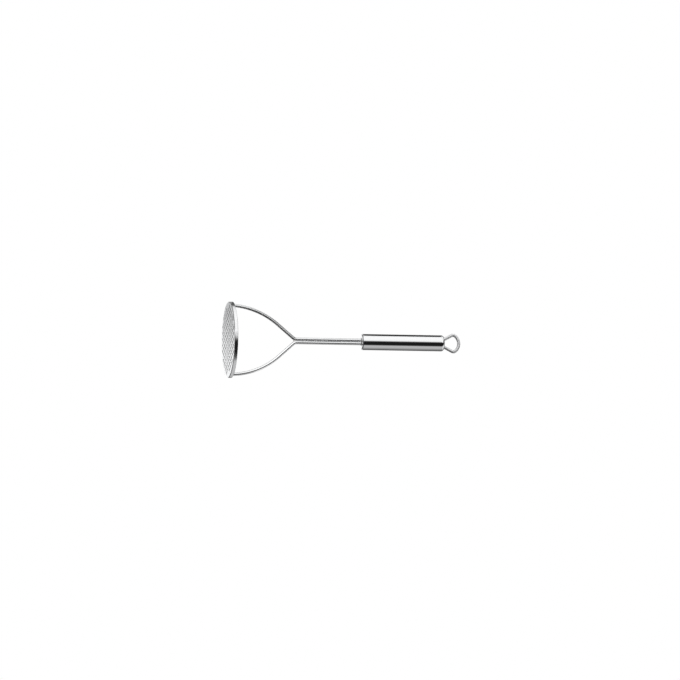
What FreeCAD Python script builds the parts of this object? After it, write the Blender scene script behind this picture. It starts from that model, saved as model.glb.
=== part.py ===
"""Stainless steel potato masher: a round perforated plate on a two-wire fork with a hollow bar handle.

Everything is turned, bent or welded about one axis, +Z, which runs up the handle. The origin is
the centre of the flat mashing face, so the part stands on z = 0. The fork and the hanging loop lie
in the XZ plane. Sizes are in millimetres.
"""
import FreeCAD, Part
import math
import os

from FreeCAD import Vector

# Driving dimensions: stations up the axis
TOTAL_LENGTH = 290.0
HANDLE_FRONT = 166.1
HANDLE_REAR = 269.3

# Mashing head
PLATE_DIAMETER = 93.5
PLATE_SHEET = 1.0
RIM_SHEET = 1.0
RIM_DEPTH = 4.6
RIM_FRONT_ROUNDING = 0.8
RIM_BACK_ROUNDING = 0.4
HOLE_DIAMETER = 5.0
HOLE_PITCH = 7.4
HOLE_EDGE_MARGIN = 1.2
HOLE_ROW_TURN = -17.0

# Fork: one bent wire each side
FORK_WIRE_DIAMETER = 4.0
FORK_FOOT_X = 43.5
FORK_BOW_RADIUS = 92.3
FORK_ANGLE = 41.6
FORK_BEND_RADIUS = 8.0
WIRE_GAP = 0.04
FOOT_WELD_LEG = 1.5
STEM_WELD_LEG = 0.9
CROTCH_WELD_LENGTH = 5.0
CROTCH_WELD_WIDTH = 2.6
CROTCH_WELD_START = 79.5

# Handle
HANDLE_DIAMETER = 19.7
HANDLE_WALL = 0.8
FRONT_FACE_DIAMETER = 17.4
FRONT_CHAMFER_LENGTH = 1.3
REAR_SHOULDER_RADIUS = 3.7
CAP_PLUG_LENGTH = 5.0
PLUG_CLEARANCE = 0.03
STEM_ANCHOR_THICKNESS = 3.0
STEM_LENGTH_INSIDE = 15.0
LOOP_ANCHOR_THICKNESS = 3.0

# Hanging loop
LOOP_WIRE_DIAMETER = 3.8
LOOP_LEG_X = 5.1
LOOP_NECK_RADIUS = 4.0
LOOP_FLARE_ANGLE = 28.4
LOOP_CORNER_RADIUS = 4.2
LOOP_END_RADIUS = 12.6

# Worked out from the above
Y_AXIS = Vector(0, 1, 0)
Z_AXIS = Vector(0, 0, 1)
PLATE_RADIUS = PLATE_DIAMETER / 2 - RIM_SHEET
WIRE_RADIUS = FORK_WIRE_DIAMETER / 2
STEM_X = WIRE_RADIUS + WIRE_GAP / 2
STEM_END = HANDLE_FRONT + STEM_LENGTH_INSIDE
HANDLE_RADIUS = HANDLE_DIAMETER / 2
TUBE_FRONT = HANDLE_FRONT + FRONT_CHAMFER_LENGTH
TUBE_REAR = HANDLE_REAR - REAR_SHOULDER_RADIUS
PLUG_RADIUS = HANDLE_RADIUS - HANDLE_WALL - PLUG_CLEARANCE
REAR_PLUG_START = TUBE_REAR - CAP_PLUG_LENGTH
LOOP_START = REAR_PLUG_START - LOOP_ANCHOR_THICKNESS
LOOP_WIRE_RADIUS = LOOP_WIRE_DIAMETER / 2


def on_plane(x, z):
    """A point in the plane of the fork and the loop."""
    return Vector(x, 0, z)


def heading(degrees):
    """Unit vector in the XZ plane, turned from +Z towards +X."""
    angle = math.radians(degrees)
    return Vector(math.sin(angle), 0, math.cos(angle))


def lines(*points):
    """Straight edges through (radius, height) points."""
    corners = [on_plane(radius, height) for radius, height in points]
    return [Part.makeLine(start, end) for start, end in zip(corners, corners[1:])]


def rounding(centre, across, along):
    """A quarter circle about a (radius, height) centre.

    It starts level with the centre, a distance across it, and ends above or below it, a distance
    along the axis. Both distances have the size of the circle's radius.
    """
    radius, height = centre
    diagonal = math.sqrt(0.5)
    return [Part.Arc(
        on_plane(radius + across, height),
        on_plane(radius + across * diagonal, height + along * diagonal),
        on_plane(radius, height + along),
    ).toShape()]


def revolved(edges):
    """A solid of revolution about +Z from the edges of a closed outline."""
    outline = Part.Wire(Part.__sortEdges__(edges))
    return Part.Face(outline).revolve(Vector(0, 0, 0), Z_AXIS, 360)


def mirrored(shape):
    """The same shape on the other side of the YZ plane."""
    return shape.mirror(Vector(0, 0, 0), Vector(1, 0, 0))


class BentWire:
    """A round wire bent in the XZ plane, made of straight runs and tangent arcs."""

    def __init__(self, start, radius):
        self.place = start
        self.direction = 0
        self.radius = radius
        self.pieces = []

    def straight(self, length):
        run = heading(self.direction)
        self.pieces.append(Part.makeCylinder(self.radius, length, self.place, run))
        self.place = self.place + run * length

    def bend(self, bend_radius, degrees):
        """Turn by some degrees; positive turns from +Z towards +X."""
        side = 1 if degrees > 0 else -1
        centre = self.place + heading(self.direction + 90 * side) * bend_radius
        section = Part.Face(Part.Wire(Part.makeCircle(self.radius, self.place, heading(self.direction))))
        self.pieces.append(section.revolve(centre, Y_AXIS, degrees))
        self.direction += degrees
        self.place = centre + heading(self.direction - 90 * side) * bend_radius

    def solid(self):
        whole = self.pieces[0].multiFuse(self.pieces[1:])
        return whole.removeSplitter()


def hole_centres():
    """Staggered rows of holes that keep clear of the rim and of the feet of the fork."""
    row_step = HOLE_PITCH * math.sqrt(3) / 2
    reach = PLATE_RADIUS - HOLE_EDGE_MARGIN - HOLE_DIAMETER / 2
    foot_clearance = HOLE_DIAMETER / 2 + WIRE_RADIUS + FOOT_WELD_LEG
    rows = int(reach / row_step)
    columns = int(reach / HOLE_PITCH) + 1
    turn = math.radians(HOLE_ROW_TURN)
    centres = []
    for row in range(-rows, rows + 1):
        for column in range(-columns, columns + 1):
            across = row * row_step
            along = (column + 0.5 * (row % 2)) * HOLE_PITCH
            x = across * math.cos(turn) - along * math.sin(turn)
            y = across * math.sin(turn) + along * math.cos(turn)
            inside = math.hypot(x, y) <= reach
            clear_of_foot = math.hypot(abs(x) - FORK_FOOT_X, y) >= foot_clearance
            if inside and clear_of_foot:
                centres.append((x, y))
    return centres


def mashing_plate():
    plate = Part.makeCylinder(PLATE_RADIUS, PLATE_SHEET)
    drills = [
        Part.makeCylinder(HOLE_DIAMETER / 2, 3 * PLATE_SHEET, Vector(x, y, -PLATE_SHEET))
        for x, y in hole_centres()
    ]
    return plate.cut(Part.makeCompound(drills))


def plate_rim():
    """A thin band round the plate, rounded where it turns into the face and along its back edge."""
    outer = PLATE_DIAMETER / 2
    front_centre = (outer - RIM_FRONT_ROUNDING, RIM_FRONT_ROUNDING)
    back_centre = (outer - RIM_BACK_ROUNDING, RIM_DEPTH - RIM_BACK_ROUNDING)
    return revolved(
        lines((PLATE_RADIUS, 0), (outer - RIM_FRONT_ROUNDING, 0))
        + rounding(front_centre, RIM_FRONT_ROUNDING, -RIM_FRONT_ROUNDING)
        + lines((outer, RIM_FRONT_ROUNDING), (outer, RIM_DEPTH - RIM_BACK_ROUNDING))
        + rounding(back_centre, RIM_BACK_ROUNDING, RIM_BACK_ROUNDING)
        + lines((outer - RIM_BACK_ROUNDING, RIM_DEPTH), (PLATE_RADIUS, RIM_DEPTH), (PLATE_RADIUS, 0))
    )


def fork_wire():
    """One wire: foot on the plate, bow inwards, bend back, and run up the stem into the handle."""
    wire = BentWire(on_plane(FORK_FOOT_X, PLATE_SHEET), WIRE_RADIUS)
    wire.bend(FORK_BOW_RADIUS, -FORK_ANGLE)
    angle = math.radians(FORK_ANGLE)
    last_bend_width = FORK_BEND_RADIUS * (1 - math.cos(angle))
    wire.straight((wire.place.x - STEM_X - last_bend_width) / math.sin(angle))
    wire.bend(FORK_BEND_RADIUS, FORK_ANGLE)
    wire.straight(STEM_END - wire.place.z)
    return wire.solid()


def foot_weld(wire):
    """The bead that runs round a wire's foot on the back of the plate, up against the rim."""
    top = PLATE_SHEET + FOOT_WELD_LEG
    bead = revolved(lines(
        (0, PLATE_SHEET),
        (WIRE_RADIUS + FOOT_WELD_LEG, PLATE_SHEET),
        (WIRE_RADIUS + FOOT_WELD_LEG * 0.7, PLATE_SHEET + FOOT_WELD_LEG * 0.5),
        (WIRE_RADIUS + FOOT_WELD_LEG * 0.3, top),
        (0, top),
        (0, PLATE_SHEET),
    ))
    bead.translate(on_plane(FORK_FOOT_X, 0))
    inside_rim = Part.makeCylinder(PLATE_RADIUS, RIM_DEPTH)
    return bead.common(inside_rim).cut(wire)


def crotch_weld(wires):
    """Weld metal in the notch where the two wires come together."""
    block = Part.makeBox(
        4 * WIRE_RADIUS, CROTCH_WELD_WIDTH, CROTCH_WELD_LENGTH,
        Vector(-2 * WIRE_RADIUS, -CROTCH_WELD_WIDTH / 2, CROTCH_WELD_START),
    )
    pieces = block.cut(Part.makeCompound(wires)).Solids
    return max((piece for piece in pieces if abs(piece.CenterOfMass.x) < 0.1), key=lambda piece: piece.Volume)


def handle_front_cap(wires):
    """Turned end of the handle: a chamfered disc with a plug that fits the tube."""
    plug_end = TUBE_FRONT + CAP_PLUG_LENGTH
    cap = revolved(lines(
        (0, HANDLE_FRONT),
        (FRONT_FACE_DIAMETER / 2, HANDLE_FRONT),
        (HANDLE_RADIUS, TUBE_FRONT),
        (PLUG_RADIUS, TUBE_FRONT),
        (PLUG_RADIUS, plug_end),
        (0, plug_end),
        (0, HANDLE_FRONT),
    ))
    return cap.cut(Part.makeCompound(wires))


def stem_weld(wires):
    """The bead that runs round both wires where they enter the handle."""
    low = HANDLE_FRONT - STEM_WELD_LEG
    collar = Part.makeCone(WIRE_RADIUS, WIRE_RADIUS + STEM_WELD_LEG, STEM_WELD_LEG, on_plane(STEM_X, low))
    both = collar.fuse(mirrored(collar))
    return both.cut(Part.makeCompound(wires))


def stem_anchor(wires):
    """Disc inside the handle that holds the inner ends of the wires."""
    low = on_plane(0, STEM_END - STEM_ANCHOR_THICKNESS)
    disc = Part.makeCylinder(PLUG_RADIUS, STEM_ANCHOR_THICKNESS, low)
    return disc.cut(Part.makeCompound(wires))


def handle_tube():
    foot = on_plane(0, TUBE_FRONT)
    outside = Part.makeCylinder(HANDLE_RADIUS, TUBE_REAR - TUBE_FRONT, foot)
    return outside.cut(Part.makeCylinder(HANDLE_RADIUS - HANDLE_WALL, TUBE_REAR - TUBE_FRONT, foot))


def loop_run_and_angle():
    """Length of the loop's flared straight run, and half the angle of its end arc in degrees.

    The corner arc touches the flared run from inside and the end arc from inside, so its centre
    lies one corner radius from the run and the difference of the two radii from the arc's centre.
    """
    flare = math.radians(LOOP_FLARE_ANGLE)
    run_x = LOOP_LEG_X + LOOP_NECK_RADIUS * (1 - math.cos(flare))
    run_z = HANDLE_REAR + LOOP_NECK_RADIUS * math.sin(flare)
    arc_centre_z = TOTAL_LENGTH - LOOP_WIRE_RADIUS - LOOP_END_RADIUS
    offset_x = run_x - LOOP_CORNER_RADIUS * math.cos(flare)
    offset_z = run_z + LOOP_CORNER_RADIUS * math.sin(flare) - arc_centre_z
    along = offset_x * math.sin(flare) + offset_z * math.cos(flare)
    reach = LOOP_END_RADIUS - LOOP_CORNER_RADIUS
    run = -along + math.sqrt(along ** 2 - offset_x ** 2 - offset_z ** 2 + reach ** 2)
    corner_x = offset_x + run * math.sin(flare)
    corner_z = offset_z + run * math.cos(flare)
    return run, math.degrees(math.atan2(corner_x, corner_z))


def hanging_loop():
    """A fan-shaped eye of one wire: two legs, two flared runs, two corners and a wide end arc."""
    run, half_angle = loop_run_and_angle()
    corner_turn = LOOP_FLARE_ANGLE + 90 - half_angle
    loop = BentWire(on_plane(-LOOP_LEG_X, LOOP_START), LOOP_WIRE_RADIUS)
    loop.straight(HANDLE_REAR - LOOP_START)
    loop.bend(LOOP_NECK_RADIUS, -LOOP_FLARE_ANGLE)
    loop.straight(run)
    loop.bend(LOOP_CORNER_RADIUS, corner_turn)
    loop.bend(LOOP_END_RADIUS, 2 * half_angle)
    loop.bend(LOOP_CORNER_RADIUS, corner_turn)
    loop.straight(run)
    loop.bend(LOOP_NECK_RADIUS, -LOOP_FLARE_ANGLE)
    loop.straight(HANDLE_REAR - LOOP_START)
    return loop.solid()


def rear_cap(loop):
    """Turned rear end: a rounded shoulder with a plug that fits the tube and bores for the loop's legs."""
    face_radius = HANDLE_RADIUS - REAR_SHOULDER_RADIUS
    plug = [(0, REAR_PLUG_START), (PLUG_RADIUS, REAR_PLUG_START), (PLUG_RADIUS, TUBE_REAR)]
    cap = revolved(
        lines(*plug, (HANDLE_RADIUS, TUBE_REAR))
        + rounding((face_radius, TUBE_REAR), REAR_SHOULDER_RADIUS, REAR_SHOULDER_RADIUS)
        + lines((face_radius, HANDLE_REAR), (0, HANDLE_REAR), (0, REAR_PLUG_START))
    )
    return cap.cut(loop)


def loop_anchor(loop):
    """Disc inside the handle that holds the inner ends of the loop's legs."""
    disc = Part.makeCylinder(PLUG_RADIUS, LOOP_ANCHOR_THICKNESS, on_plane(0, LOOP_START))
    return disc.cut(loop)


def build():
    right_wire = fork_wire()
    left_wire = mirrored(right_wire)
    wires = [left_wire, right_wire]
    right_foot = foot_weld(right_wire)
    loop = hanging_loop()
    return {
        "mashing_plate": mashing_plate(),
        "plate_rim": plate_rim(),
        "fork_wire_left": left_wire,
        "fork_wire_right": right_wire,
        "foot_weld_left": mirrored(right_foot),
        "foot_weld_right": right_foot,
        "crotch_weld": crotch_weld(wires),
        "stem_weld": stem_weld(wires),
        "handle_front_cap": handle_front_cap(wires),
        "stem_anchor": stem_anchor(wires),
        "handle_tube": handle_tube(),
        "rear_cap": rear_cap(loop),
        "hanging_loop": loop,
        "loop_anchor": loop_anchor(loop),
    }


os.makedirs("parts", exist_ok=True)
for name, shape in build().items():
    shape.exportStep(os.path.join("parts", name + ".step"))
    box = shape.optimalBoundingBox()
    print(f"{name}: {shape.ShapeType}, {len(shape.Solids)} solid, valid {shape.isValid()}, "
          f"{shape.Volume:.1f} mm3, x {box.XMin:.2f}..{box.XMax:.2f}, y {box.YMin:.2f}..{box.YMax:.2f}, "
          f"z {box.ZMin:.2f}..{box.ZMax:.2f}")
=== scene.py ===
"""Looks of a stainless steel potato masher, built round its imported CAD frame. Everything is in metres.

The tool stands on its mashing face at z = 0 with the handle up. The fork and the hanging loop lie in
the XZ plane. Every visible piece is meshed here, finer than its CAD node and with small edge
roundings, weld ripples and procedural steel. Two discs hidden inside the handle keep their CAD mesh.
"""

import math

import bmesh
import bpy
import numpy as np
from mathutils import Matrix, Vector
from mathutils.geometry import delaunay_2d_cdt


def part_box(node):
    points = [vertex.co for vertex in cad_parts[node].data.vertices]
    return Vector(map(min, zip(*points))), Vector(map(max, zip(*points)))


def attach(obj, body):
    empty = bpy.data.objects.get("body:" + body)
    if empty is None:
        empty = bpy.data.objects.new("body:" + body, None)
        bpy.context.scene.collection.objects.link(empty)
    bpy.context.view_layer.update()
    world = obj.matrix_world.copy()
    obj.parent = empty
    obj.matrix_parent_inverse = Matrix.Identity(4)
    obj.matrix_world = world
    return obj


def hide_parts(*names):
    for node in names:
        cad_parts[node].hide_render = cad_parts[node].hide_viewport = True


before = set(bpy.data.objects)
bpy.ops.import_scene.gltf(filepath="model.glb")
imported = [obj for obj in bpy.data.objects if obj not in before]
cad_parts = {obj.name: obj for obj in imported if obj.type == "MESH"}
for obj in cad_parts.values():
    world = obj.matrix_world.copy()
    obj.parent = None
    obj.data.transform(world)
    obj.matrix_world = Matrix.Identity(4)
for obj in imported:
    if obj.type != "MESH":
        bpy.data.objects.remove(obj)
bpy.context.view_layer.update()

MM = 0.001
BODY = "root"

# Sizes that the CAD nodes' boxes give
PLATE_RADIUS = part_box("mashing_plate")[1].x
PLATE_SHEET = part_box("mashing_plate")[1].z
RIM_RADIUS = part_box("plate_rim")[1].x
RIM_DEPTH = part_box("plate_rim")[1].z
WIRE_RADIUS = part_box("fork_wire_right")[1].y
FOOT_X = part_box("fork_wire_right")[1].x - WIRE_RADIUS
STEM_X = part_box("fork_wire_right")[0].x + WIRE_RADIUS
STEM_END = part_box("fork_wire_right")[1].z
FOOT_WELD = [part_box("foot_weld_right")[0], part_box("foot_weld_right")[1]]
CROTCH_WELD = [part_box("crotch_weld")[0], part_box("crotch_weld")[1]]
STEM_WELD = [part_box("stem_weld")[0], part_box("stem_weld")[1]]
HANDLE_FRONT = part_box("handle_front_cap")[0].z
FRONT_PLUG_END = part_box("handle_front_cap")[1].z
TUBE_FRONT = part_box("handle_tube")[0].z
TUBE_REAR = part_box("handle_tube")[1].z
HANDLE_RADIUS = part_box("handle_tube")[1].x
HANDLE_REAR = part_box("rear_cap")[1].z
REAR_PLUG_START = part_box("rear_cap")[0].z
PLUG_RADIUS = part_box("stem_anchor")[1].x
LOOP_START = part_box("hanging_loop")[0].z
LOOP_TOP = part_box("hanging_loop")[1].z
LOOP_WIRE_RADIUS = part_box("hanging_loop")[1].y

# Sizes that the boxes don't give
HOLE_RADIUS = 2.5 * MM
HOLE_PITCH = 7.4 * MM
HOLE_EDGE_MARGIN = 1.2 * MM
HOLE_ROW_TURN = -17.0
FOOT_WELD_LEG = 1.5 * MM
BOW_RADIUS = 92.3 * MM
FORK_ANGLE = 41.6
FORK_BEND_RADIUS = 8.0 * MM
HANDLE_WALL = 0.8 * MM
FRONT_FACE_RADIUS = 8.7 * MM
LOOP_LEG_X = 5.1 * MM
LOOP_NECK_RADIUS = 4.0 * MM
LOOP_FLARE_ANGLE = 28.4
LOOP_CORNER_RADIUS = 4.2 * MM
LOOP_END_RADIUS = 12.6 * MM


# ---------------------------------------------------------------- node graphs

class Graph:
    """Short calls for making the nodes of one material or of the world."""

    def __init__(self, owner):
        owner.use_nodes = True
        self.tree = owner.node_tree
        self.tree.nodes.clear()

    def add(self, kind, inputs=None, **settings):
        made = self.tree.nodes.new("ShaderNode" + kind)
        for name, value in settings.items():
            setattr(made, name, value)
        for name, value in (inputs or {}).items():
            self.feed(made.inputs[name], value)
        return made

    def feed(self, socket, value):
        if isinstance(value, bpy.types.NodeSocket):
            self.tree.links.new(value, socket)
        else:
            socket.default_value = value

    def math(self, operation, *values):
        made = self.add("Math", operation=operation)
        for socket, value in zip(made.inputs, values):
            self.feed(socket, value)
        return made.outputs[0]

    def remap(self, value, low, high, new_low=0.0, new_high=1.0, smooth=False):
        made = self.add(
            "MapRange",
            {"Value": value, "From Min": low, "From Max": high, "To Min": new_low, "To Max": new_high},
            interpolation_type="SMOOTHSTEP" if smooth else "LINEAR",
        )
        return made.outputs["Result"]

    def stretched(self, vector, x, y, z):
        made = self.add("VectorMath", operation="MULTIPLY")
        self.feed(made.inputs[0], vector)
        self.feed(made.inputs[1], (x, y, z))
        return made.outputs[0]

    def turned(self, vector, axis, degrees):
        made = self.add("VectorRotate", {"Vector": vector, "Axis": axis, "Angle": math.radians(degrees)})
        return made.outputs[0]

    def noise(self, vector, scale=1.0, detail=2.0, roughness=0.5):
        made = self.add(
            "TexNoise", {"Vector": vector, "Scale": scale, "Detail": detail, "Roughness": roughness}
        )
        return made.outputs["Fac"]

    def lerp(self, share, first, second):
        """A grey mix: first where share is 0, second where it is 1."""
        made = self.add("Mix", data_type="FLOAT")
        self.feed(made.inputs[0], share)
        self.feed(made.inputs[2], first)
        self.feed(made.inputs[3], second)
        return made.outputs[0]


# ---------------------------------------------------------------- materials

def hairlines(graph, place, across, along, axis, degrees, threshold):
    """Fine straight scratches: noise stretched along one direction, and only its crests."""
    turned = graph.turned(place, axis, degrees)
    value = graph.noise(graph.stretched(turned, across, across, along), detail=2.0)
    return graph.remap(value, threshold, threshold + 0.05)


def steel(name, tone, roughness, grain, scratch_axis, scratches=0.5, blotches=0.04, own_place=True):
    """Stainless steel with grain, hairline scratches, handling marks and brighter worn edges.

    tone is the colour, roughness the mean roughness. grain is (stretch x, y, z, depth, roughness
    change) of the directional marks. scratches scales the hairlines and blotches the soft marks.
    """
    material = bpy.data.materials.new(name)
    graph = Graph(material)
    if own_place:
        place = graph.add("Attribute", attribute_name="place").outputs["Vector"]
    else:
        place = graph.add("TexCoord").outputs["Object"]
    wear = graph.add("Attribute", attribute_name="wear").outputs["Fac"]
    stretch_x, stretch_y, stretch_z, depth, change = grain
    marks = graph.noise(graph.stretched(place, stretch_x, stretch_y, stretch_z), detail=3.0, roughness=0.6)
    soft = graph.noise(place, 70.0, 3.0, 0.55)
    pits = graph.noise(place, 5200.0, 2.0, 0.6)
    lines = graph.math(
        "MAXIMUM",
        hairlines(graph, place, 3600.0, 110.0, scratch_axis, 24.0, 0.70),
        hairlines(graph, place, 4600.0, 150.0, scratch_axis, -37.0, 0.71),
    )
    lines = graph.math("MULTIPLY", lines, scratches)
    rubbed = graph.math("MULTIPLY", wear, graph.remap(graph.noise(place, 900.0, 3.0, 0.6), 0.35, 0.6))

    shade = graph.remap(soft, 0.3, 0.7, 1.0 - blotches, 1.0 + blotches * 0.4)
    stained = graph.remap(marks, 0.25, 0.75, 1.0 - blotches, 1.0 + blotches * 0.3)
    shade = graph.math("MULTIPLY", shade, stained)
    shade = graph.math("SUBTRACT", shade, graph.math("MULTIPLY", lines, 0.05))
    shade = graph.math("ADD", shade, graph.math("MULTIPLY", rubbed, 0.06))
    colour = graph.add("VectorMath", operation="SCALE")
    colour.inputs[0].default_value = tone
    graph.feed(colour.inputs["Scale"], shade)

    rough = graph.remap(marks, 0.3, 0.7, roughness - change, roughness + change)
    rough = graph.math("ADD", rough, graph.remap(soft, 0.3, 0.7, -0.35 * change, 0.5 * change))
    rough = graph.math("ADD", rough, graph.math("MULTIPLY", lines, 0.08))
    rough = graph.math("SUBTRACT", rough, graph.math("MULTIPLY", rubbed, 0.3 * roughness))
    rough = graph.math("MAXIMUM", rough, 0.03)

    height = graph.math("MULTIPLY", marks, depth)
    height = graph.math("ADD", height, graph.math("MULTIPLY", pits, 0.25 * depth))
    height = graph.math("SUBTRACT", height, graph.math("MULTIPLY", lines, 0.9 * MM * 0.001))
    bump = graph.add("Bump", {"Height": height, "Strength": 1.0, "Distance": 1.0})

    shader = graph.add(
        "BsdfPrincipled",
        {"Base Color": colour.outputs[0], "Metallic": 1.0, "Roughness": rough, "Normal": bump.outputs[0]},
    )
    output = graph.add("OutputMaterial")
    graph.feed(output.inputs["Surface"], shader.outputs[0])
    return material


MICRON = 1e-6
SATIN_SHEET = steel(
    "satin_sheet_steel", (0.83, 0.84, 0.85), 0.30,
    (420.0, 5200.0, 5200.0, 1.6 * MICRON, 0.06),
    (0.0, 0.0, 1.0), scratches=0.9, blotches=0.06,
)
SHEARED_EDGE = steel(
    "sheared_edge_steel", (0.90, 0.90, 0.90), 0.55,
    (3000.0, 3000.0, 700.0, 4.0 * MICRON, 0.06),
    (0.0, 0.0, 1.0), scratches=0.2,
)
RIM_STEEL = steel(
    "polished_rim_steel", (0.84, 0.845, 0.85), 0.16,
    (900.0, 900.0, 5200.0, 0.7 * MICRON, 0.04),
    (0.0, 0.0, 1.0), scratches=0.6,
)
DRAWN_WIRE = steel(
    "drawn_wire_steel", (0.85, 0.855, 0.86), 0.24,
    (5200.0, 5200.0, 90.0, 1.0 * MICRON, 0.06),
    (1.0, 0.0, 0.0), scratches=0.5,
)
LOOP_WIRE = steel(
    "satin_loop_steel", (0.86, 0.865, 0.87), 0.58,
    (5200.0, 5200.0, 120.0, 1.2 * MICRON, 0.06),
    (1.0, 0.0, 0.0), scratches=0.5,
)
POLISHED = steel(
    "polished_handle_steel", (0.85, 0.855, 0.86), 0.09,
    (3600.0, 3600.0, 45.0, 0.12 * MICRON, 0.02),
    (1.0, 0.0, 0.0), scratches=0.35, blotches=0.02,
)
TURNED = steel(
    "turned_cap_steel", (0.86, 0.865, 0.87), 0.30,
    (900.0, 900.0, 6000.0, 0.9 * MICRON, 0.05),
    (0.0, 0.0, 1.0), scratches=0.4,
)
WELD = steel(
    "weld_steel", (0.76, 0.75, 0.735), 0.34,
    (1500.0, 1500.0, 1500.0, 6.0 * MICRON, 0.08),
    (0.0, 0.0, 1.0), scratches=0.2, blotches=0.10,
)
INSIDE = steel(
    "machined_inside_steel", (0.72, 0.72, 0.72), 0.35,
    (4000.0, 4000.0, 900.0, 1.5 * MICRON, 0.05),
    (0.0, 0.0, 1.0), own_place=False,
)


# ---------------------------------------------------------------- mesh helpers

def filleted(corners, closed=False, steps=5, fade=0.7 * MM):
    """An outline with its corners rounded.

    corners are (x, y, fillet radius, wear); the result is points of (x, y, wear). A worn corner also
    gets a point a little way along each side of it, where the wear has faded to nothing.
    """
    points = []
    count = len(corners)
    for index, (x, y, radius, wear) in enumerate(corners):
        here = np.array((x, y))
        if radius == 0 or (not closed and index in (0, count - 1)):
            points.append((x, y, wear))
            continue
        back = np.array(corners[index - 1][:2]) - here
        ahead = np.array(corners[(index + 1) % count][:2]) - here
        room = min(np.linalg.norm(back), np.linalg.norm(ahead))
        back /= np.linalg.norm(back)
        ahead /= np.linalg.norm(ahead)
        half = math.acos(float(np.clip(back @ ahead, -1, 1))) / 2
        setback = radius / math.tan(half)
        centre = here + (back + ahead) / np.linalg.norm(back + ahead) * radius / math.sin(half)
        first = here + back * setback - centre
        sweep = math.pi - 2 * half
        if first[0] * ahead[1] - first[1] * ahead[0] < 0:
            sweep = -sweep
        reach = min(setback + fade, 0.49 * room)
        if wear > 0 and reach > setback:
            points.append((*(here + back * reach), 0.0))
        for step in range(steps + 1):
            angle = sweep * step / steps
            cos, sin = math.cos(angle), math.sin(angle)
            spoke = (first[0] * cos - first[1] * sin, first[0] * sin + first[1] * cos)
            points.append((centre[0] + spoke[0], centre[1] + spoke[1], wear))
        if wear > 0 and reach > setback:
            points.append((*(here + ahead * reach), 0.0))
    return points


def lathe(outline, segments, closed, centre_x=0.0):
    """Revolves (radius, height, wear) points about an upright line. Points on it become one vertex."""
    verts, faces, wear, rings = [], [], [], []
    turns = [2 * math.pi * k / segments for k in range(segments)]
    for radius, height, worn in outline:
        start = len(verts)
        if radius < 1e-9:
            verts.append((centre_x, 0.0, height))
            rings.append([start] * segments)
        else:
            verts += [(centre_x + radius * math.cos(a), radius * math.sin(a), height) for a in turns]
            rings.append(list(range(start, start + segments)))
        wear += [worn] * (len(verts) - start)
    pairs = list(zip(rings, rings[1:]))
    if closed:
        pairs.append((rings[-1], rings[0]))
    for low, high in pairs:
        for k in range(segments):
            after = (k + 1) % segments
            face = [low[k], low[after], high[after], high[k]]
            face = [v for i, v in enumerate(face) if v not in face[:i]]
            if len(face) > 2:
                faces.append(face)
    return verts, faces, wear


class WirePath:
    """The centre line of a wire in the XZ plane: straight runs and tangent arcs, as close points."""

    def __init__(self, x, z):
        self.x, self.z, self.direction = x, z, 0.0
        self.points = [(x, z, 0.0)]

    def straight(self, length, step=4 * MM):
        angle = math.radians(self.direction)
        count = max(1, math.ceil(length / step))
        for k in range(1, count + 1):
            along = length * k / count
            x = self.x + along * math.sin(angle)
            z = self.z + along * math.cos(angle)
            self.points.append((x, z, self.direction))
        self.x, self.z = self.points[-1][:2]

    def bend(self, radius, degrees, step=1.5):
        side = 1 if degrees > 0 else -1
        start = math.radians(self.direction + 90 * side)
        centre_x = self.x + radius * math.sin(start)
        centre_z = self.z + radius * math.cos(start)
        count = max(2, math.ceil(abs(degrees) / step))
        for k in range(1, count + 1):
            direction = self.direction + degrees * k / count
            angle = math.radians(direction - 90 * side)
            x = centre_x + radius * math.sin(angle)
            z = centre_z + radius * math.cos(angle)
            self.points.append((x, z, direction))
        self.x, self.z, self.direction = self.points[-1]


def sweep(points, radius, sides, offset=0.0):
    """A round wire along a WirePath's points. Its place attribute runs round and along the wire."""
    verts, faces, place = [], [], []
    turns = [2 * math.pi * k / sides for k in range(sides)]
    along = offset
    for index, (x, z, direction) in enumerate(points):
        if index:
            along += math.hypot(x - points[index - 1][0], z - points[index - 1][1])
        angle = math.radians(direction)
        side_x, side_z = math.cos(angle), -math.sin(angle)
        for turn in turns:
            across, over = radius * math.cos(turn), radius * math.sin(turn)
            verts.append((x + across * side_x, over, z + across * side_z))
            place.append((across, over, along))
    for ring in range(len(points) - 1):
        for k in range(sides):
            after = (k + 1) % sides
            low, high = ring * sides, (ring + 1) * sides
            faces.append([low + k, low + after, high + after, high + k])
    last = (len(points) - 1) * sides
    faces.append(list(range(sides)))
    faces.append(list(range(last, last + sides)))
    return verts, faces, place


def add_piece(name, verts, faces, material, nodes, place=None, wear=None, sharp=35.0):
    """Makes a mesh object, tidies its normals and ties it to the frame."""
    mesh = bpy.data.meshes.new(name)
    mesh.from_pydata(verts, [], faces)
    mesh.validate()
    work = bmesh.new()
    work.from_mesh(mesh)
    bmesh.ops.recalc_face_normals(work, faces=work.faces)
    work.to_mesh(mesh)
    work.free()
    set_attributes(mesh, place if place is not None else verts, wear)
    mesh.polygons.foreach_set("use_smooth", [True] * len(mesh.polygons))
    mesh.set_sharp_from_angle(angle=math.radians(sharp))
    mesh.materials.append(material)
    piece = bpy.data.objects.new(name, mesh)
    bpy.context.scene.collection.objects.link(piece)
    normals = piece.modifiers.new("even_normals", "WEIGHTED_NORMAL")
    normals.keep_sharp = True
    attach(piece, BODY)
    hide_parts(*nodes)
    return piece


def set_attributes(mesh, place, wear):
    spot = mesh.attributes.new("place", "FLOAT_VECTOR", "POINT")
    spot.data.foreach_set("vector", np.asarray(place, np.float32).ravel())
    worn = mesh.attributes.new("wear", "FLOAT", "POINT")
    worn.data.foreach_set("value", np.asarray(wear if wear is not None else [0.0] * len(place), np.float32))


# ---------------------------------------------------------------- mashing head

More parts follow.
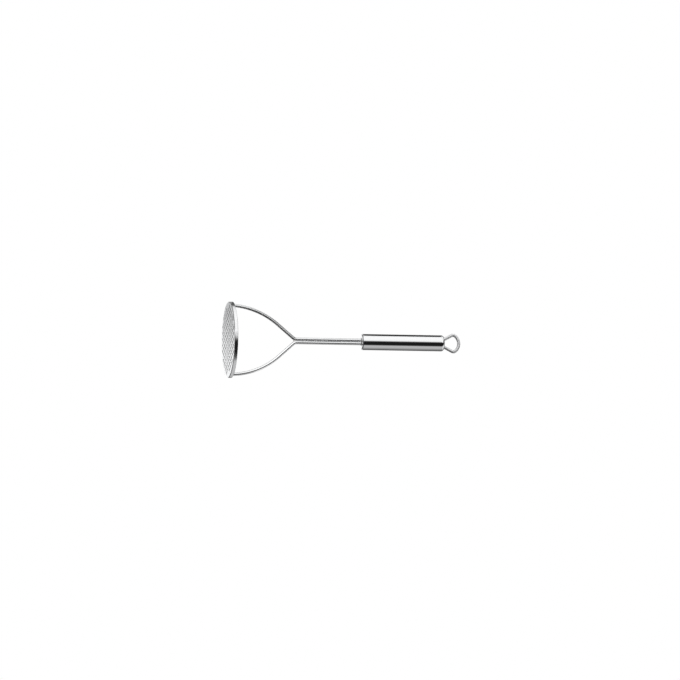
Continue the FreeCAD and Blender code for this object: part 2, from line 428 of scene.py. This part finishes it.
def hole_centres():
    """Staggered rows of holes that keep clear of the rim and of the feet of the fork."""
    row_step = HOLE_PITCH * math.sqrt(3) / 2
    reach = PLATE_RADIUS - HOLE_EDGE_MARGIN - HOLE_RADIUS
    foot_clearance = HOLE_RADIUS + WIRE_RADIUS + FOOT_WELD_LEG
    rows = int(reach / row_step)
    columns = int(reach / HOLE_PITCH) + 1
    turn = math.radians(HOLE_ROW_TURN)
    centres = []
    for row in range(-rows, rows + 1):
        for column in range(-columns, columns + 1):
            across = row * row_step
            along = (column + 0.5 * (row % 2)) * HOLE_PITCH
            x = across * math.cos(turn) - along * math.sin(turn)
            y = across * math.sin(turn) + along * math.cos(turn)
            if math.hypot(x, y) <= reach and math.hypot(abs(x) - FOOT_X, y) >= foot_clearance:
                centres.append((x, y))
    return centres


def perforated_plate():
    """A disc with rounded holes: two flat faces triangulated between the rings, and a wall at each ring."""
    edge, hole_edge, steps = 0.10 * MM, 0.22 * MM, 3
    hole_sides, rim_sides, fade_sides = 36, 224, 18
    fade_reach = 0.45 * MM
    holes = hole_centres()
    rings = [(0.0, 0.0, PLATE_RADIUS, rim_sides, -edge)]
    rings += [(x, y, HOLE_RADIUS, hole_sides, hole_edge) for x, y in holes]
    verts, faces, wear, faced = [], [], [], []
    for x, y, radius, sides, rounding in rings:
        size = abs(rounding)
        stations = []
        for step in range(steps + 1):
            angle = math.pi / 2 * step / steps
            stations.append((radius + rounding * (1 - math.sin(angle)), size * (1 - math.cos(angle))))
        stations += [(r, PLATE_SHEET - z) for r, z in reversed(stations)]
        start = len(verts)
        for r, z in stations:
            for k in range(sides):
                turn = 2 * math.pi * k / sides
                verts.append((x + r * math.cos(turn), y + r * math.sin(turn), z))
                wear.append(1.0 if rounding > 0 else 0.2)
        for ring in range(len(stations) - 1):
            for k in range(sides):
                after = (k + 1) % sides
                low, high = start + ring * sides, start + (ring + 1) * sides
                faces.append([low + k, low + after, high + after, high + k])
        faced.append((start, start + (len(stations) - 1) * sides, sides))
    fade_rings = [(x, y, HOLE_RADIUS + hole_edge + fade_reach) for x, y in holes]
    for level, z in ((0, 0.0), (1, PLATE_SHEET)):
        index, flat, edges, owner = [], [], [], []
        for number, ring in enumerate(faced):
            first = len(flat)
            for k in range(ring[2]):
                index.append(ring[level] + k)
                owner.append(number)
                flat.append(Vector(verts[ring[level] + k][:2]))
                edges.append((first + k, first + (k + 1) % ring[2]))
        for x, y, radius in fade_rings:
            for k in range(fade_sides):
                turn = 2 * math.pi * (k + 0.5) / fade_sides
                point = (x + radius * math.cos(turn), y + radius * math.sin(turn))
                index.append(len(verts))
                owner.append(-1)
                flat.append(Vector(point))
                verts.append((*point, z))
                wear.append(0.0)
        cut = delaunay_2d_cdt(flat, edges, [], 1, 1e-9)
        source = [olds[0] for olds in cut[3]]
        for triangle in cut[2]:
            owners = {owner[source[v]] for v in triangle}
            inside_a_hole = len(owners) == 1 and max(owners) > 0
            if not inside_a_hole:
                faces.append([index[source[v]] for v in triangle])
    piece = add_piece(
        "mashing_plate_perforated", verts, faces, SATIN_SHEET, ["mashing_plate"], wear=wear
    )
    piece.data.materials.append(SHEARED_EDGE)
    for face in piece.data.polygons:
        in_plate = hole_edge < face.center.z + hole_edge < PLATE_SHEET + hole_edge
        in_hole = math.hypot(face.center.x, face.center.y) < PLATE_RADIUS - HOLE_EDGE_MARGIN / 2
        if in_plate and in_hole and abs(face.normal.z) < 0.8:
            face.material_index = 1


def rim():
    seam = 0.08 * MM
    corners = [
        (PLATE_RADIUS, 0.0, seam, 0.3),
        (RIM_RADIUS, 0.0, 0.8 * MM, 1.0),
        (RIM_RADIUS, RIM_DEPTH, 0.4 * MM, 1.0),
        (PLATE_RADIUS, RIM_DEPTH, 0.3 * MM, 1.0),
    ]
    outline = filleted(corners, closed=True, steps=7)
    verts, faces, wear = lathe(outline, 256, True)
    add_piece("plate_rim_band", verts, faces, RIM_STEEL, ["plate_rim"], wear=wear)


# ---------------------------------------------------------------- fork

def fork_path():
    path = WirePath(FOOT_X, PLATE_SHEET)
    path.bend(BOW_RADIUS, -FORK_ANGLE, 1.0)
    angle = math.radians(FORK_ANGLE)
    last_bend_width = FORK_BEND_RADIUS * (1 - math.cos(angle))
    path.straight((path.x - STEM_X - last_bend_width) / math.sin(angle), 2 * MM)
    path.bend(FORK_BEND_RADIUS, FORK_ANGLE, 2.0)
    path.straight(STEM_END - path.z, 3 * MM)
    return path


def mirrored(verts):
    return [(-x, y, z) for x, y, z in verts]


def fork_wires():
    verts, faces, place = sweep(fork_path().points, WIRE_RADIUS, 40)
    add_piece("fork_wire_right_drawn", verts, faces, DRAWN_WIRE, ["fork_wire_right"], place)
    other = [(x, y, z + 0.7) for x, y, z in place]
    verts = mirrored(verts)
    add_piece("fork_wire_left_drawn", verts, faces, DRAWN_WIRE, ["fork_wire_left"], other)


def ripple(turn, count, phase):
    """The height of a weld's overlapping ripples at a turn round the bead, 0 to 1."""
    step = (turn * count / (2 * math.pi) + phase) % 1.0
    return (1 - step) ** 0.6 * min(1.0, step * 6)


def foot_welds():
    """A concave bead round each foot, with small ripples and an uneven toe."""
    segments, rows = 120, 9
    reach = FOOT_WELD[1].y - WIRE_RADIUS
    rise = FOOT_WELD[1].z - PLATE_SHEET
    for side, phase in (("right", 0.2), ("left", 0.7)):
        verts, faces = [], []
        for row in range(rows + 1):
            share = row / rows
            for k in range(segments):
                turn = 2 * math.pi * k / segments
                bump = 0.09 * MM * ripple(turn, 17, phase) * math.sin(math.pi * share)
                toe = 0.06 * MM * (1 + math.sin(3 * turn + 5 * phase)) * (1 - share)
                radius = WIRE_RADIUS + reach * (1 - share) ** 1.5 * 0.98 - toe + bump - 0.02 * MM * share
                height = PLATE_SHEET + rise * share + bump * 0.5
                x, y = FOOT_X + radius * math.cos(turn), radius * math.sin(turn)
                past_rim = max(1.0, math.hypot(x, y) / (PLATE_RADIUS + 0.05 * MM))
                verts.append((x / past_rim, y / past_rim, height))
        for row in range(rows):
            for k in range(segments):
                after = (k + 1) % segments
                low, high = row * segments, (row + 1) * segments
                faces.append([low + k, low + after, high + after, high + k])
        faces.append(list(range(segments)))
        faces.append(list(range(rows * segments, (rows + 1) * segments)))
        if side == "left":
            verts = mirrored(verts)
        add_piece("foot_weld_" + side + "_bead", verts, faces, WELD, ["foot_weld_" + side])


def crotch_weld():
    """A web of weld metal in the notch between the wires, hollowed below and buried in them at its sides."""
    line = [(z, x) for x, z, _ in fork_path().points]
    heights, offsets = [p[0] for p in line], [p[1] for p in line]
    low, high = CROTCH_WELD[0].z, CROTCH_WELD[1].z
    half = CROTCH_WELD[1].y
    columns, rows = 17, 15
    front, back = [], []
    for row in range(rows):
        share = row / (rows - 1)
        thick = half * math.sqrt(max(0.0, 1 - (1 - min(1.0, share / 0.3)) ** 2))
        for column in range(columns):
            across = 2 * column / (columns - 1) - 1
            bottom = low + 1.4 * MM * (1 - across * across)
            z = bottom + (high - bottom) * share
            x = across * float(np.interp(z, heights, offsets)) * 0.92
            wave = 0.05 * MM * math.sin(z / MM * 2 * math.pi / 0.75) * (1 if 0 < row < rows - 1 else 0)
            y = thick * (1 - 0.28 * (1 - across * across)) + wave * (1 if thick > 0 else 0)
            front.append((x, -y, z))
            back.append((x, y, z))
    verts = front + back
    total = columns * rows
    faces = []
    for row in range(rows - 1):
        for column in range(columns - 1):
            a = row * columns + column
            faces.append([a, a + 1, a + 1 + columns, a + columns])
            faces.append([total + a, total + a + 1, total + a + 1 + columns, total + a + columns])
    top = (rows - 1) * columns
    for column in range(columns - 1):
        faces.append([top + column, top + column + 1, total + top + column + 1, total + top + column])
    for row in range(rows - 1):
        for column in (0, columns - 1):
            a, b = row * columns + column, (row + 1) * columns + column
            faces.append([a, b, total + b, total + a])
    mesh_verts, mesh_faces = merged(verts, faces)
    add_piece("crotch_weld_web", mesh_verts, mesh_faces, WELD, ["crotch_weld"], sharp=60)


def merged(verts, faces, distance=1e-7):
    """The same mesh with vertices that lie on each other joined, and faces that lose an edge dropped."""
    work = bmesh.new()
    made = [work.verts.new(v) for v in verts]
    for face in faces:
        work.faces.new([made[i] for i in face])
    bmesh.ops.remove_doubles(work, verts=work.verts, dist=distance)
    bmesh.ops.dissolve_degenerate(work, edges=work.edges, dist=distance)
    work.verts.index_update()
    result = [tuple(v.co) for v in work.verts], [[v.index for v in f.verts] for f in work.faces]
    work.free()
    return result


def stem_weld():
    """A bead round both wires where they enter the handle."""
    low, high = STEM_WELD[0].z, STEM_WELD[1].z
    reach = STEM_WELD[1].y - WIRE_RADIUS
    segments, rows = 160, 8
    verts, faces = [], []
    for row in range(rows + 1):
        share = row / rows
        for k in range(segments):
            turn = 2 * math.pi * k / segments
            lean = STEM_X * math.tanh(3.2 * math.cos(turn))
            bump = 0.06 * MM * ripple(turn, 30, 0.3) * math.sin(math.pi * share)
            radius = WIRE_RADIUS + reach * share ** 1.5 * 0.97 + bump - 0.03 * MM * (1 - share)
            height = low + (high - low) * share
            verts.append((lean + radius * math.cos(turn), radius * math.sin(turn), height))
    for row in range(rows):
        for k in range(segments):
            after = (k + 1) % segments
            a, b = row * segments, (row + 1) * segments
            faces.append([a + k, a + after, b + after, b + k])
    faces.append(list(range(segments)))
    faces.append(list(range(rows * segments, (rows + 1) * segments)))
    add_piece("stem_weld_bead", verts, faces, WELD, ["stem_weld"])


# ---------------------------------------------------------------- handle

def bored(verts, faces, bores, low, high):
    """The mesh with round upright holes cut through it. bores are (x, radius)."""
    body_mesh = bpy.data.meshes.new("body")
    solid_verts, solid_faces = verts, faces
    body_mesh.from_pydata(solid_verts, [], solid_faces)
    body = bpy.data.objects.new("body", body_mesh)
    bpy.context.scene.collection.objects.link(body)
    work = bmesh.new()
    work.from_mesh(body_mesh)
    bmesh.ops.recalc_face_normals(work, faces=work.faces)
    work.to_mesh(body_mesh)
    work.free()
    cutters = []
    for x, radius in bores:
        outline = [(0.0, low, 0), (radius, low, 0), (radius, high, 0), (0.0, high, 0)]
        cutter_verts, cutter_faces, _ = lathe(outline, 48, False, x)
        cutter_mesh = bpy.data.meshes.new("cutter")
        cutter_mesh.from_pydata(cutter_verts, [], cutter_faces)
        work = bmesh.new()
        work.from_mesh(cutter_mesh)
        bmesh.ops.recalc_face_normals(work, faces=work.faces)
        work.to_mesh(cutter_mesh)
        work.free()
        cutter = bpy.data.objects.new("cutter", cutter_mesh)
        bpy.context.scene.collection.objects.link(cutter)
        cut = body.modifiers.new("bore", "BOOLEAN")
        cut.operation, cut.solver, cut.object = "DIFFERENCE", "EXACT", cutter
        cutters.append(cutter)
    bpy.context.view_layer.update()
    result = bpy.data.meshes.new_from_object(body.evaluated_get(bpy.context.evaluated_depsgraph_get()))
    new_verts = [tuple(v.co) for v in result.vertices]
    new_faces = [list(p.vertices) for p in result.polygons]
    for thing in [body, *cutters]:
        bpy.data.objects.remove(thing)
    return new_verts, new_faces


def wear_near(verts, edges, reach=0.7 * MM):
    """Wear by distance from circles given as (radius, height): 1 at them, 0 at reach and beyond."""
    result = []
    for x, y, z in verts:
        radius = math.hypot(x, y)
        nearest = min(math.hypot(radius - r, z - h) for r, h in edges)
        result.append(max(0.0, 1.0 - nearest / reach))
    return result


def front_cap():
    corners = [
        (0.0, HANDLE_FRONT, 0, 0),
        (FRONT_FACE_RADIUS, HANDLE_FRONT, 0.5 * MM, 1),
        (HANDLE_RADIUS, TUBE_FRONT - 0.06 * MM, 0.5 * MM, 1),
        (HANDLE_RADIUS - 0.12 * MM, TUBE_FRONT, 0, 0),
        (PLUG_RADIUS, TUBE_FRONT, 0, 0),
        (PLUG_RADIUS, FRONT_PLUG_END, 0.3 * MM, 0),
        (0.0, FRONT_PLUG_END, 0, 0),
    ]
    verts, faces, _ = lathe(filleted(corners, steps=6), 144, False)
    bores = [(-STEM_X, WIRE_RADIUS), (STEM_X, WIRE_RADIUS)]
    verts, faces = bored(verts, faces, bores, HANDLE_FRONT - MM, FRONT_PLUG_END + MM)
    wear = wear_near(verts, [(FRONT_FACE_RADIUS, HANDLE_FRONT), (HANDLE_RADIUS, TUBE_FRONT)])
    carried = ["handle_front_cap"]
    add_piece("handle_front_cap_turned", verts, faces, TURNED, carried, wear=wear)


def tube():
    inner = HANDLE_RADIUS - HANDLE_WALL
    corners = [
        (inner, TUBE_FRONT, 0, 0),
        (HANDLE_RADIUS, TUBE_FRONT, 0.12 * MM, 1),
        (HANDLE_RADIUS, TUBE_REAR, 0.12 * MM, 1),
        (inner, TUBE_REAR, 0, 0),
    ]
    outline = filleted(corners, closed=True, steps=4)
    verts, faces, wear = lathe(outline, 144, True)
    add_piece("handle_tube_polished", verts, faces, POLISHED, ["handle_tube"], wear=wear)


def rear_cap():
    shoulder = HANDLE_REAR - TUBE_REAR
    corners = [
        (0.0, REAR_PLUG_START, 0, 0),
        (PLUG_RADIUS, REAR_PLUG_START, 0.3 * MM, 0),
        (PLUG_RADIUS, TUBE_REAR, 0, 0),
        (HANDLE_RADIUS - 0.10 * MM, TUBE_REAR, 0, 0),
        (HANDLE_RADIUS, TUBE_REAR + 0.08 * MM, 0, 0),
        (HANDLE_RADIUS, HANDLE_REAR, shoulder - 0.1 * MM, 1),
        (0.0, HANDLE_REAR, 0, 0),
    ]
    verts, faces, _ = lathe(filleted(corners, steps=16), 144, False)
    bores = [(-LOOP_LEG_X, LOOP_WIRE_RADIUS), (LOOP_LEG_X, LOOP_WIRE_RADIUS)]
    verts, faces = bored(verts, faces, bores, REAR_PLUG_START - MM, HANDLE_REAR + MM)
    crest = (HANDLE_RADIUS - 0.3 * shoulder, HANDLE_REAR - 0.3 * shoulder)
    wear = wear_near(verts, [(HANDLE_RADIUS, TUBE_REAR), crest])
    add_piece("rear_cap_turned", verts, faces, POLISHED, ["rear_cap"], wear=wear)


# ---------------------------------------------------------------- hanging loop

def loop_path():
    """Two legs, two flared runs, two corners and a wide end arc, tangent to each other."""
    flare = math.radians(LOOP_FLARE_ANGLE)
    run_x = LOOP_LEG_X + LOOP_NECK_RADIUS * (1 - math.cos(flare))
    run_z = HANDLE_REAR + LOOP_NECK_RADIUS * math.sin(flare)
    arc_centre_z = LOOP_TOP - LOOP_WIRE_RADIUS - LOOP_END_RADIUS
    offset_x = run_x - LOOP_CORNER_RADIUS * math.cos(flare)
    offset_z = run_z + LOOP_CORNER_RADIUS * math.sin(flare) - arc_centre_z
    along = offset_x * math.sin(flare) + offset_z * math.cos(flare)
    reach = LOOP_END_RADIUS - LOOP_CORNER_RADIUS
    run = -along + math.sqrt(along ** 2 - offset_x ** 2 - offset_z ** 2 + reach ** 2)
    half_angle = math.degrees(math.atan2(offset_x + run * math.sin(flare), offset_z + run * math.cos(flare)))
    corner_turn = LOOP_FLARE_ANGLE + 90 - half_angle
    path = WirePath(-LOOP_LEG_X, LOOP_START)
    path.straight(HANDLE_REAR - LOOP_START, 2 * MM)
    path.bend(LOOP_NECK_RADIUS, -LOOP_FLARE_ANGLE, 3.0)
    path.straight(run, MM)
    path.bend(LOOP_CORNER_RADIUS, corner_turn, 4.0)
    path.bend(LOOP_END_RADIUS, 2 * half_angle, 2.0)
    path.bend(LOOP_CORNER_RADIUS, corner_turn, 4.0)
    path.straight(run, MM)
    path.bend(LOOP_NECK_RADIUS, -LOOP_FLARE_ANGLE, 3.0)
    path.straight(HANDLE_REAR - LOOP_START, 2 * MM)
    return path


def hanging_loop():
    verts, faces, place = sweep(loop_path().points, LOOP_WIRE_RADIUS, 36, 1.6)
    add_piece("hanging_loop_drawn", verts, faces, LOOP_WIRE, ["hanging_loop"], place)


perforated_plate()
rim()
fork_wires()
foot_welds()
crotch_weld()
stem_weld()
front_cap()
tube()
rear_cap()
hanging_loop()
for hidden in ("stem_anchor", "loop_anchor"):
    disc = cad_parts[hidden]
    disc.data.materials.clear()
    disc.data.materials.append(INSIDE)


# ---------------------------------------------------------------- studio

VIEW_AZIMUTH = 13.25


def studio_world():
    """A white room with dark flags, as steel needs: its grey by the direction that a reflection looks."""
    world = bpy.data.worlds.new("studio")
    bpy.context.scene.world = world
    graph = Graph(world)
    split = graph.add("SeparateXYZ")
    sky = graph.add("TexCoord").outputs["Generated"]
    view_sky = graph.turned(sky, (0.0, 0.0, 1.0), -VIEW_AZIMUTH)
    graph.feed(split.inputs[0], view_sky)
    degree = 180 / math.pi
    minus_x = graph.math("MULTIPLY", split.outputs["X"], -1.0)
    minus_y = graph.math("MULTIPLY", split.outputs["Y"], -1.0)
    around = graph.math("MULTIPLY", graph.math("ARCTAN2", minus_x, minus_y), degree)
    up = graph.math("MULTIPLY", graph.math("ARCSINE", split.outputs["Z"]), degree)
    walls = graph.add("ValToRGB")
    ramp = walls.color_ramp
    ramp.interpolation = "LINEAR"
    black = 0.012
    high_behind = (0.0, 1.0, 1.2)
    face_mirror = (0.0, 0.983, -0.182)
    stops = [
        (-180, 0.25), (-140, 0.20), (-118, 0.24), (-95, 0.36), (-85, 0.52), (-52, 0.55), (-44, 0.20),
        (-38, black), (8, black), (14, 0.25), (20, 0.75), (27, 1.08), (70, 1.15), (100, 1.05), (126, 0.85),
        (134, 0.10), (160, 0.05), (180, 0.25),
    ]
    for index, (angle, grey) in enumerate(stops):
        at = (angle + 180) / 360
        stop = ramp.elements[index] if index < 2 else ramp.elements.new(at)
        stop.position = at
        stop.color = (grey, grey, grey, 1)
    graph.feed(walls.inputs[0], graph.remap(around, -180.0, 180.0))
    value = graph.add("RGBToBW")
    graph.feed(value.inputs[0], walls.outputs[0])
    value = value.outputs[0]

    def above(limit, soft=6.0):
        return graph.remap(up, limit - soft / 2, limit + soft / 2, smooth=True)

    def below(limit, soft=6.0):
        return graph.remap(up, limit - soft / 2, limit + soft / 2, 1.0, 0.0, smooth=True)

    def between(low, high, soft=10.0):
        """1 between two directions round the tool, 0 outside."""
        rise = graph.remap(around, low - soft / 2, low + soft / 2, smooth=True)
        fall = graph.remap(around, high - soft / 2, high + soft / 2, 1.0, 0.0, smooth=True)
        return graph.math("MULTIPLY", rise, fall)

    def paint(mask, other, grey):
        return graph.lerp(graph.math("MULTIPLY", mask, other), value, grey)

    def round_direction(direction, near, far):
        """1 close to a direction of the unturned view, 0 from far degrees away."""
        dot = graph.add("VectorMath", operation="DOT_PRODUCT")
        graph.feed(dot.inputs[0], view_sky)
        graph.feed(dot.inputs[1], tuple(Vector(direction).normalized()))
        away = graph.math("MULTIPLY", graph.math("ARCCOSINE", dot.outputs["Value"]), degree)
        return graph.remap(away, near, far, 1.0, 0.0, smooth=True)

    value = paint(between(95, 175), above(22), 0.95)
    value = paint(between(20, 97), below(4), 1.45)
    value = paint(between(-155, -40), below(2), 0.05)
    value = paint(between(-175, -45), above(30), 0.95)
    value = paint(between(0, 86), above(19, 4.0), black)
    value = graph.lerp(round_direction(high_behind, 32.0, 44.0), value, 0.05)
    value = graph.lerp(below(-40, 8.0), value, 0.20)
    value = graph.lerp(round_direction(face_mirror, 54.0, 66.0), value, 0.10)
    value = graph.lerp(round_direction(face_mirror, 11.0, 19.0), value, 1.35)
    value = graph.lerp(graph.add("LightPath").outputs["Is Camera Ray"], value, 1.0)
    colour = graph.add("CombineColor")
    for socket in colour.inputs:
        graph.feed(socket, value)
    back = graph.add("Background", {"Color": colour.outputs[0], "Strength": 1.0})
    graph.feed(graph.add("OutputWorld").inputs[0], back.outputs[0])


def floor():
    """A pale floor that the tool stands on. It is seen only from above, and steel doesn't mirror it."""
    work = bmesh.new()
    bmesh.ops.create_grid(work, x_segments=24, y_segments=24, size=2.0)
    mesh = bpy.data.meshes.new("studio_floor")
    work.to_mesh(mesh)
    work.free()
    made = bpy.data.objects.new("studio_floor", mesh)
    made.location.z = -0.3 * MM
    bpy.context.scene.collection.objects.link(made)
    material = bpy.data.materials.new("pale_floor")
    graph = Graph(material)
    place = graph.add("TexCoord").outputs["Object"]
    far = graph.add("VectorMath", operation="LENGTH")
    graph.feed(far.inputs[0], place)
    grey = graph.remap(graph.noise(place, 300.0, 3.0), 0.3, 0.7, 0.86, 0.88)
    colour = graph.add("CombineColor")
    for socket in colour.inputs:
        graph.feed(socket, grey)
    paint = graph.add("BsdfDiffuse", {"Color": colour.outputs[0]})
    clear = graph.add("BsdfTransparent")
    seen = graph.add("LightPath").outputs["Is Camera Ray"]
    above = graph.math("SUBTRACT", 1.0, graph.add("NewGeometry").outputs["Backfacing"])
    near = graph.remap(far.outputs["Value"], 0.8, 1.8, 1.0, 0.0, smooth=True)
    solid = graph.math("MULTIPLY", graph.math("MULTIPLY", seen, above), near)
    mix = graph.add("MixShader")
    graph.feed(mix.inputs[0], solid)
    graph.feed(mix.inputs[1], clear.outputs[0])
    graph.feed(mix.inputs[2], paint.outputs[0])
    graph.feed(graph.add("OutputMaterial").inputs[0], mix.outputs[0])
    mesh.materials.append(material)


def overhead_light():
    data = bpy.data.lights.new("overhead_softbox", "AREA")
    data.shape, data.size, data.size_y, data.energy = "RECTANGLE", 1.6, 1.2, 22.0
    made = bpy.data.objects.new("overhead_softbox", data)
    made.location = (-0.5, -0.5, 1.6)
    made.rotation_mode = "QUATERNION"
    made.rotation_quaternion = (-Vector(made.location)).to_track_quat("-Z", "Y")
    made.visible_glossy = False
    bpy.context.scene.collection.objects.link(made)


def card(name, points, low, high, stops, along):
    """A standing card that only mirror images show. points are its base line in the view's own frame.

    stops are (place, grey) along the card. The place is an angle round the tool, or the x position.
    """
    verts = [(x, y, z) for z in (low, high) for x, y in points]
    count = len(points)
    faces = [[k, k + 1, k + 1 + count, k + count] for k in range(count - 1)]
    mesh = bpy.data.meshes.new(name)
    mesh.from_pydata(verts, [], faces)
    made = bpy.data.objects.new(name, mesh)
    made.rotation_euler.z = math.radians(VIEW_AZIMUTH)
    bpy.context.scene.collection.objects.link(made)
    graph = Graph(bpy.data.materials.new(name + "_paint"))
    split = graph.add("SeparateXYZ")
    graph.feed(split.inputs[0], graph.add("TexCoord").outputs["Object"])
    if along == "angle":
        minus_x = graph.math("MULTIPLY", split.outputs["X"], -1.0)
        minus_y = graph.math("MULTIPLY", split.outputs["Y"], -1.0)
        place = graph.math("MULTIPLY", graph.math("ARCTAN2", minus_x, minus_y), 180 / math.pi)
    else:
        place = split.outputs["X"]
    first, last = stops[0][0], stops[-1][0]
    paint = graph.add("ValToRGB")
    ramp = paint.color_ramp
    for index, (at, grey) in enumerate(stops):
        at = (at - first) / (last - first)
        stop = ramp.elements[index] if index < 2 else ramp.elements.new(at)
        stop.position = at
        stop.color = (grey, grey, grey, 1)
    graph.feed(paint.inputs[0], graph.remap(place, first, last))
    glow = graph.add("Emission", {"Color": paint.outputs[0], "Strength": 1.0})
    clear = graph.add("BsdfTransparent")
    mix = graph.add("MixShader", {0: graph.add("LightPath").outputs["Is Glossy Ray"]})
    graph.feed(mix.inputs[1], clear.outputs[0])
    graph.feed(mix.inputs[2], glow.outputs[0])
    graph.feed(graph.add("OutputMaterial").inputs[0], mix.outputs[0])
    mesh.materials.append(bpy.data.materials[name + "_paint"])


def arc(first, last, radius, steps=24):
    """Points round the tool from one angle to another, 0 towards the camera."""
    angles = [math.radians(first + (last - first) * k / steps) for k in range(steps + 1)]
    return [(-radius * math.sin(a), -radius * math.cos(a)) for a in angles]


CARD_RADIUS = 0.30
EDGE_CARD_RADIUS = 0.062
DEEP_GREY = 0.03
EDGE_GREY = 0.08
LOOP_LIGHT = 1.10


def cards():
    """Near cards.

    One draws the handle's upper contour, two shade the rim, one lights
    the loop and the rear shoulder, one shades the mashing face.
    """
    contour_stops = [(101, DEEP_GREY), (139, DEEP_GREY)]
    card("contour_card", arc(101, 139, CARD_RADIUS), 0.2215, 0.325, contour_stops, "angle")
    rim_stops = [
        (-150, 0.48), (-118, 0.60), (-92, 0.64), (-64, 0.60), (-55, 0.20), (-49, 0.012), (-3, 0.012),
        (3, 0.25), (9, 0.75), (17, 1.05),
    ]
    card("rim_card", arc(-150, 17, CARD_RADIUS), 0.035, 0.085, rim_stops, "angle")
    loop_stops = [(10, LOOP_LIGHT), (100, LOOP_LIGHT)]
    card("loop_card", arc(10, 100, CARD_RADIUS), 0.345, 0.62, loop_stops, "angle")
    face_stops = [(-0.24, 0.52), (-0.05, 0.60), (0.03, 1.32)]
    edge_stops = [(20, EDGE_GREY), (122, EDGE_GREY)]
    card("edge_card", arc(20, 122, EDGE_CARD_RADIUS), -0.04, -0.001, edge_stops, "angle")
    card("face_card", [(-0.24, 0.09), (0.03, 0.09)], -0.08, 0.02, face_stops, "x")


CAMERA_TILT = 10.5
CAMERA_ROLL = 1.0
CAMERA_DISTANCE = 10.0
SENSOR_WIDTH = 36.0
LENS = 430.9
AIM_LEFT = 5.47 * MM
AIM_UP = 2.09 * MM


def camera():
    """Looks at the tool from a little below the mashing face's level, with the handle towards the right."""
    turn, tilt, roll = math.radians(VIEW_AZIMUTH), math.radians(CAMERA_TILT), math.radians(CAMERA_ROLL)
    back = Vector((math.sin(turn) * math.cos(tilt), -math.cos(turn) * math.cos(tilt), -math.sin(tilt)))
    up0 = Vector((-math.cos(turn), -math.sin(turn), 0.0))
    right0 = up0.cross(back)
    right = right0 * math.cos(roll) + up0 * math.sin(roll)
    up = up0 * math.cos(roll) - right0 * math.sin(roll)
    aim = Vector((0.0, 0.0, LOOP_TOP / 2)) - right * AIM_LEFT + up * AIM_UP
    data = bpy.data.cameras.new("camera")
    data.sensor_width, data.lens = SENSOR_WIDTH, LENS
    data.clip_start, data.clip_end = 0.1, 100.0
    made = bpy.data.objects.new("camera", data)
    spin = Matrix((right, up, back)).transposed()
    made.matrix_world = Matrix.Translation(aim + back * CAMERA_DISTANCE) @ spin.to_4x4()
    bpy.context.scene.collection.objects.link(made)
    bpy.context.scene.camera = made


studio_world()
floor()
overhead_light()
cards()
camera()
bpy.context.scene.view_settings.view_transform = "Standard"
